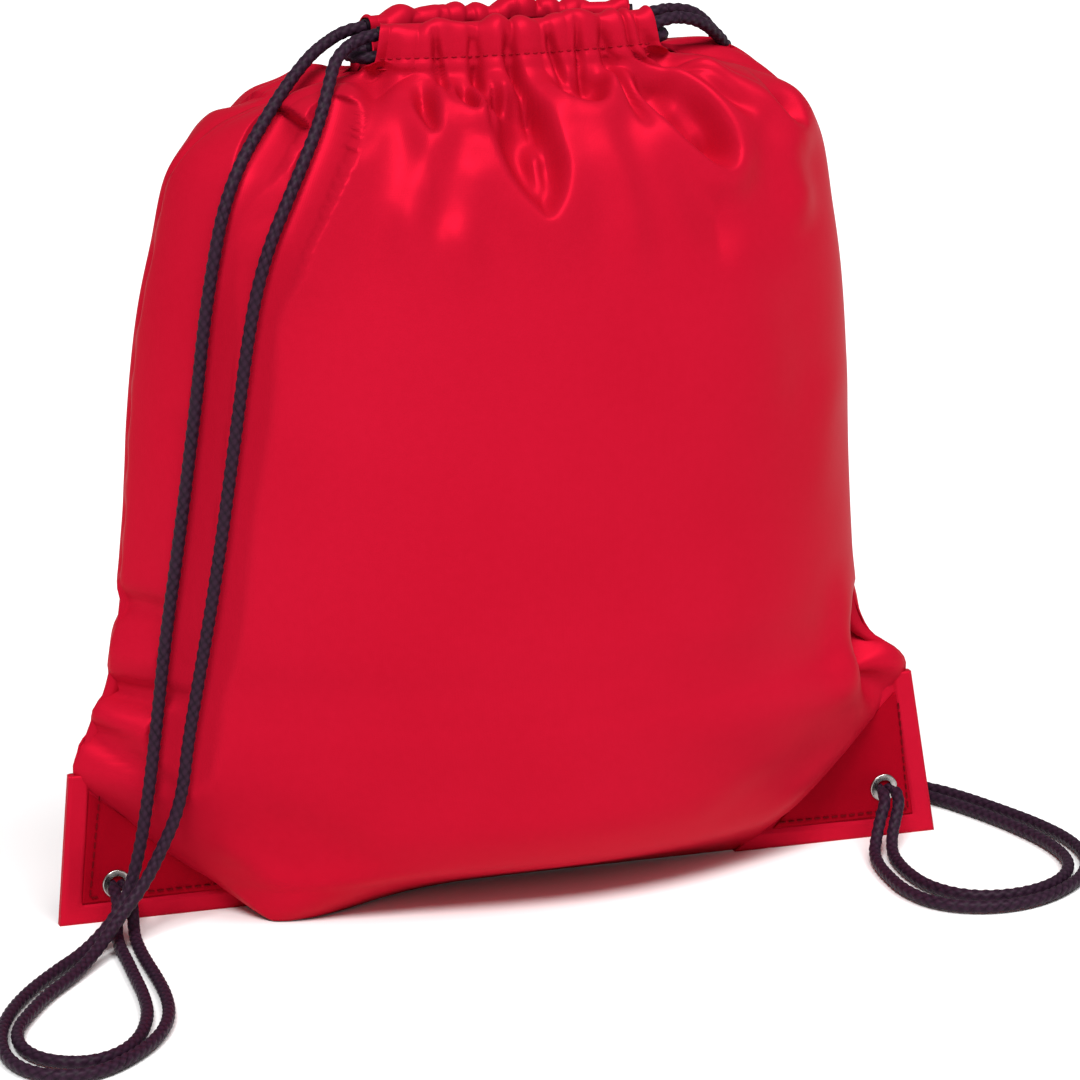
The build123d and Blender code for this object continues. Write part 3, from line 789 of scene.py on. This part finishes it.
def clear_of_hem_cords(grid, hem, front):
    """The hem's cloth goes round the two cords that run in it."""
    sign = -1 if front else 1
    end_depth, bow, _ = CORD_LINE
    middle = end_depth + bow * (1 - (grid[:, :, 0] / HEM_CORD_HALF) ** 2)
    for height in HEM_CORD_HEIGHTS:
        out = sign * grid[:, :, 1] - middle
        up = grid[:, :, 2] - height
        away = np.maximum(np.hypot(out, up), 1e-3)
        push = np.maximum(CORD / 2 + 1.0 - away, 0) * hem
        grid[:, :, 1] += sign * out / away * push
        grid[:, :, 2] += up / away * push


def press_under_strands(grid, front):
    """The cloth is pressed in wherever a strap lies on it."""
    sign = -1 if front else 1
    side = "left" if front else "right"
    x, z = grid[:, :, 0], grid[:, :, 2]
    for name in (side + "_strap_back_strand", side + "_strap_front_strand"):
        route = [place for place in STRANDS[name] if 40 < place[2] < 325]
        line = curve_through(route, 5)
        away, share = distance_to(line[:, [0, 2]], x, z)
        depth = sign * np.interp(share, np.linspace(0, 1, len(line)), line[:, 1])
        away = np.abs(away)
        ends = smooth_step(share, 0.0, 0.02) * smooth_step(1 - share, 0.0, 0.02)
        room = depth - STRAND_ROOM + 0.09 * np.maximum(away - 1.5, 0) ** 2
        over = (sign * grid[:, :, 1] - room) * ends * (away < STRAND_REACH)
        grid[:, :, 1] -= sign * np.maximum(over, 0)


def panel_grid(front):
    """Outer surface of one panel, rows from the bottom seam up over the hem's crest."""
    table = section_rows(SECTIONS + HEM_ROWS, ROW_STEPS)
    grid, angles, hem = cloth_rows(table, front)
    heights = table[:, 0][:, None]
    if front:
        from_foot = grid[:, :, 0] + FOOT_AT
        foot = np.exp(-((from_foot / np.where(from_foot < 0, 27, 42)) ** 2) - (heights / 17) ** 2)
        grid[:, :, 1] -= FOOT_BULGE * foot * smooth_step(np.sin(angles), 0.0, 0.3)
    for height, depth, reach in SIDE_NOTCHES:
        near_seam = np.exp(-((grid[:, :, 0] + table[:, 1][:, None]) / 22) ** 2)
        grid[:, :, 0] += depth * near_seam * np.exp(-(((heights - height) / reach) ** 2))
    x, y, z = (grid[:, :, axis] for axis in range(3))
    normals = grid_normals(grid) * (1 if front else -1)
    across = x if front else -x
    rise = pocket_heights(across, z, POCKETS) + line_heights(across, z, RIDGES)
    rise *= FOLD_SCALE * (1 - smooth_step(z, HEM_FOOT - 6, HEM_FOOT + 2))
    edge = np.clip(np.sin(angles), 0, 1)
    wrinkles = line_heights(x, z, FRONT_WRINKLES if front else BACK_WRINKLES)
    wrinkles *= smooth_step(edge, 0.0, 0.12) * smooth_step(z, 1.0, 16.0)
    for out, swells in ((across, SWELLS), (x, [] if front else BACK_SWELLS)):
        for (cx, cz), swell, reach in swells:
            rise += swell * np.exp(-(((out - cx) / reach) ** 2) - ((z - cz) / reach) ** 2)
    rise *= smooth_step(edge, 0.0, 0.35) * smooth_step(z, 1.0, 16.0)
    rise += wrinkles
    rise += hem_rise(x, z, angles, hem, front)
    crest = int(np.argmax(table[:, 0]))
    rows = np.arange(len(table))[:, None]
    rise -= STITCH_DENT * np.exp(-(((z - STITCH_LINE) / 1.3) ** 2)) * (rows < crest)
    along = np.cos(angles)
    seam = np.where(along > 0, x + table[:, 1][:, None], table[:, 2][:, None] - x)
    pucker = 1.0 + 0.35 * np.sin(z / 3.1) + 0.25 * np.sin(z / 7.7 + 1)
    rise -= SEAM_DENT * pucker * np.exp(-(np.hypot(seam, y) / 2.2) ** 2) * smooth_step(z, 60, 75) * (1 - hem)
    seed = HEM_SEEDS[front]
    lift = CREST_PUFF * (np.sin(6.7 * angles + seed) + 0.8 * np.sin(13.3 * angles + 2 * seed))
    lift += CREST_ARCH[front] * (edge**2 - 0.35)
    lift *= smooth_step(z, STITCH_LINE, HEM_CREST)
    grid = grid + normals * rise[:, :, None]
    grid[:, :, 2] += lift
    clear_of_hem_cords(grid, hem, front)
    press_under_strands(grid, front)
    return grid, normals, table


def make_panels():
    for name, front in (("front", True), ("back", False)):
        grid, normals, table = panel_grid(front)
        face, inward = (grid, normals) if front else (grid[:, ::-1], normals[:, ::-1])
        panel = slab(name + "_cloth", face, face - inward * CLOTH_THICK, RED_CLOTH)
        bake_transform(panel)
        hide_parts(*(f"{name}_panel_{band}" for band in PANEL_BANDS))
        make_hem(name, front)
        rising = table[:int(np.argmax(table[:, 0])), 0]
        stitched = int(np.argmin(np.abs(rising - STITCH_LINE)))
        make_hem_stitches(name, front, grid[stitched])


SEAM_HALF_THICK = 0.7
SIDE_SEAM_INSET = 2.5  # inside the sack's widest line
SIDE_SEAM_WIDTH = 7.0
SIDE_SEAM_SPAN = (64, 312)  # heights
BOTTOM_SEAM_FOOT = 1.4
BOTTOM_SEAM_WIDTH = 6.0
BOTTOM_SEAM_HALF = 88


def seam_strip(name, node, inner, outer):
    """Turned-in seam allowance: a narrow band inside the sack along a line of places."""
    thick = np.array([0, SEAM_HALF_THICK, 0])
    face = np.stack([inner - thick, outer - thick], axis=1)
    lining = np.stack([inner + thick, outer + thick], axis=1)
    strip = slab(name, face, lining, RED_CLOTH)
    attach(strip, "root")
    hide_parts(node)


def make_inner_seams():
    table = section_rows(SECTIONS, ROW_STEPS)
    rows = table[(table[:, 0] > SIDE_SEAM_SPAN[0]) & (table[:, 0] < SIDE_SEAM_SPAN[1])]
    for side, sign in (("left", -1), ("right", 1)):
        widths = rows[:, 1 if sign < 0 else 2]
        edge = np.stack([sign * (widths - SIDE_SEAM_INSET), np.zeros(len(rows)), rows[:, 0]], axis=1)
        inner = edge - np.array([sign * SIDE_SEAM_WIDTH, 0, 0])
        seam_strip(side + "_seam_allowance", side + "_side_seam", inner, edge)
    along = np.linspace(-BOTTOM_SEAM_HALF, BOTTOM_SEAM_HALF, 60)
    base = np.stack([along, np.zeros(60), np.full(60, BOTTOM_SEAM_FOOT)], axis=1)
    seam_strip("bottom_seam_allowance", "bottom_seam", base + np.array([0, 0, BOTTOM_SEAM_WIDTH]), base)


# ---------------------------------------------------------------- gathered hems
def make_hem(name, front):
    """The part of the hem that is folded under, sewn to the panel along the stitches."""
    table = section_rows(HEM_FOLD, ROW_STEPS)  # all below its first row, so cloth_rows makes it all hem
    grid, angles, hem = cloth_rows(table, front)
    sign = -1 if front else 1
    x, z = grid[:, :, 0], grid[:, :, 2]
    grid[:, :, 1] += sign * hem_rise(x, z, angles, hem, front) * smooth_step(-z, -333, -329)
    normals = grid_normals(grid) * (1 if front else -1)
    if not front:
        grid, normals = grid[:, ::-1], normals[:, ::-1]
    fold = slab(name + "_hem_cloth", grid, grid - normals * CLOTH_THICK, RED_CLOTH)
    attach(fold, name + "_hem")
    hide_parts(name + "_channel")


HEM_STITCH_STEP = 0.5  # between points along a stitch, mm
HEM_STITCH_PITCH = 7  # points from one stitch to the next
HEM_STITCH_POINTS = 5
HEM_STITCH_SIDES = 6
HEM_STITCH_RADIUS = 0.24


def make_hem_stitches(name, front, outer):
    """A row of short stitches laid in the dent below the hem's cords."""
    line, _ = even_line(outer, HEM_STITCH_STEP)
    sign = -1 if front else 1
    places, faces = [], []
    length, sides = HEM_STITCH_POINTS, HEM_STITCH_SIDES
    for start in range(4, len(line) - HEM_STITCH_PITCH, HEM_STITCH_PITCH):
        run = line[start:start + length]
        along = run[-1] - run[0]
        along /= np.linalg.norm(along)
        outward = np.array([-along[1], along[0], 0]) * (sign if along[0] > 0 else -sign)
        outward *= np.sign(outward[1]) * sign
        over = np.cross(outward, along)
        first = len(places)
        for number, place in enumerate(run):
            bow = math.sin(math.pi * number / (length - 1))
            for around in range(sides):
                angle = 2 * math.pi * around / sides
                offset = HEM_STITCH_RADIUS * (math.cos(angle) * outward + math.sin(angle) * over)
                places.append(place + outward * (0.05 + 0.28 * bow) + offset)
        faces += grid_faces(length, sides, first, closed=True)
        faces.append(tuple(range(first + sides - 1, first - 1, -1)))
        faces.append(tuple(first + sides * (length - 1) + number for number in range(sides)))
    stitches = make_object(name + "_hem_stitches", places, faces, RED_THREAD)
    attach(stitches, name + "_hem")
    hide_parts(name + "_channel_stitches")


# ---------------------------------------------------------------- flat bottom corners
EAR_INNER = 101.0  # the hinge line runs from here on the ground
EAR_TIPS = {"left": (175.0, 60.0), "right": (168.5, 68.5)}
EAR_CORNER = 180.0
EAR_BAND = 8.0
EAR_ROWS = 61
EAR_COLUMNS = 71
EYELET_HOLE = 7.4
EAR_SEEDS = {"left": 2.1, "right": 0.6}


def ear_map(side, inset_inner, inset_outer):
    """x and z over the corner: rows climb the hinge line, columns run outwards."""
    tip_x, tip_z = EAR_TIPS[side]
    slope = (tip_x - EAR_INNER) / tip_z
    lean = (EAR_CORNER - tip_x) / tip_z
    inner_foot = EAR_INNER + inset_inner * math.hypot(1, slope)
    outer_foot = EAR_CORNER - inset_outer * math.hypot(1, lean)
    top_z = (outer_foot - inner_foot) / (slope + lean) - 0.3
    if inset_outer == 0:
        top_z = tip_z - 0.4
    up = np.linspace(0, 1, EAR_ROWS)[:, None]
    out = np.linspace(0, 1, EAR_COLUMNS)[None, :]
    z = inset_outer + (top_z - inset_outer) * up + 0 * out
    low_x = inner_foot + slope * z
    high_x = outer_foot - lean * z
    return low_x + (high_x - low_x) * out, z


def ear_waves(x, z, seed):
    """Slight waviness of the sewn corner."""
    return 0.7 * np.sin(x / 9.0 + seed) * np.sin(z / 11.0 + 2 * seed) + 0.4 * np.sin((x + z) / 5.5 + seed)


def edge_distance(side, x, z):
    tip_x, tip_z = EAR_TIPS[side]
    lean = (EAR_CORNER - tip_x) / tip_z
    outer = (EAR_CORNER - lean * z - x) / math.hypot(1, lean)
    return np.minimum(outer, z)


def cut_hole(piece, middle, diameter):
    """Round hole along Y, cut with a boolean that is applied at once."""
    cutter_mesh = bpy.data.meshes.new("cutter")
    count = 40
    turn = 2 * math.pi * np.arange(count) / count
    radius = diameter / 2
    ring = np.stack([middle.x + radius * np.cos(turn), 0 * turn, middle.z + radius * np.sin(turn)], axis=1)
    places = np.concatenate([ring + [0, -0.02, 0], ring + [0, 0.02, 0]])
    faces = [(a, (a + 1) % count, (a + 1) % count + count, a + count) for a in range(count)]
    faces += [tuple(range(count - 1, -1, -1)), tuple(range(count, 2 * count))]
    cutter_mesh.from_pydata(places.tolist(), [], faces)
    cutter = add_object("cutter", cutter_mesh)
    modifier = piece.modifiers.new("hole", "BOOLEAN")
    modifier.operation = "DIFFERENCE"
    modifier.solver = "EXACT"
    modifier.object = cutter
    bpy.context.view_layer.update()
    cut = piece.evaluated_get(bpy.context.evaluated_depsgraph_get())
    result = bpy.data.meshes.new_from_object(cut)
    piece.modifiers.clear()
    piece.data = result
    bpy.data.objects.remove(cutter)


def corner_slab(name, x, z, face_y, lining_y, sign, facing, material):
    """One layer of the corner, from its lining out to its face."""
    face = np.stack([sign * x, facing * face_y, z], axis=2)
    lining = np.stack([sign * x, facing * lining_y + 0 * x, z], axis=2)
    if sign * facing > 0:
        face, lining = face[:, ::-1], lining[:, ::-1]
    return slab(name, face, lining, material)


def make_ear(side):
    sign = 1 if side == "right" else -1
    low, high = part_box(side + "_eyelet")
    eyelet = (low + high) / 2
    seed = EAR_SEEDS[side]
    for layer, facing in (("front", -1), ("back", 1)):
        x, z = ear_map(side, -4.6, 0.0)
        calm = smooth_step(np.hypot(x - abs(eyelet.x) / MM, z - eyelet.z / MM), 6, 14)
        edge = edge_distance(side, x, z)
        waves = ear_waves(x, z, seed + (0 if facing < 0 else 1.3)) * calm * smooth_step(edge, 0.0, 6.0)
        band = 1 - smooth_step(edge, EAR_BAND - 0.9, EAR_BAND + 0.3)
        roll = 1 - np.clip(edge / 1.2, 0, 1) ** 2
        face_y = 1.0 + 0.25 * waves + 1.35 * band - 0.75 * roll
        name = f"{side}_corner_{layer}_cloth"
        cloth = corner_slab(name, x, z, face_y, 0.04, sign, facing, RED_CLOTH)
        cut_hole(cloth, eyelet, EYELET_HOLE * MM)
        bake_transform(cloth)
        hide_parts(f"{side}_ear_{layer}_cloth")

        # the patch on each layer of the corner; its darker colour is painted shade
        x, z = ear_map(side, 1.2, EAR_BAND + 0.15)
        calm = smooth_step(np.hypot(x - abs(eyelet.x) / MM, z - eyelet.z / MM), 6, 15)
        inner = smooth_step(edge_distance(side, x, z), EAR_BAND + 0.3, EAR_BAND + 5)
        waves = ear_waves(x, z, seed + 0.9) * calm
        face_y = 1.95 + 0.30 * waves * inner - 0.25 * inner * calm
        name = f"{side}_corner_{layer}_patch"
        patch = corner_slab(name, x, z, face_y, 1.0, sign, facing, PATCH_CLOTH_PAINTED_SHADE)
        cut_hole(patch, eyelet, EYELET_HOLE * MM)
        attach(patch, side + "_ear")
        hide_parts(f"{side}_ear_{layer}_patch")


# ---------------------------------------------------------------- finishes for the CAD parts that stay
def finish_cad_parts():
    # the CAD stitches take the dark thread, whose darkness is painted shade
    finishes = {"eyelet": NICKEL, "washer": NICKEL, "stitches": DARK_THREAD, "run": CORD_BRAID}
    for name, node in NODES.items():
        for word, material in finishes.items():
            if word in name:
                node.data.materials.clear()
                node.data.materials.append(material)


make_camera()
make_stage()
make_cords()
for side in ("left", "right"):
    make_knot(side)
    make_ear(side)
make_panels()
make_inner_seams()
finish_cad_parts()
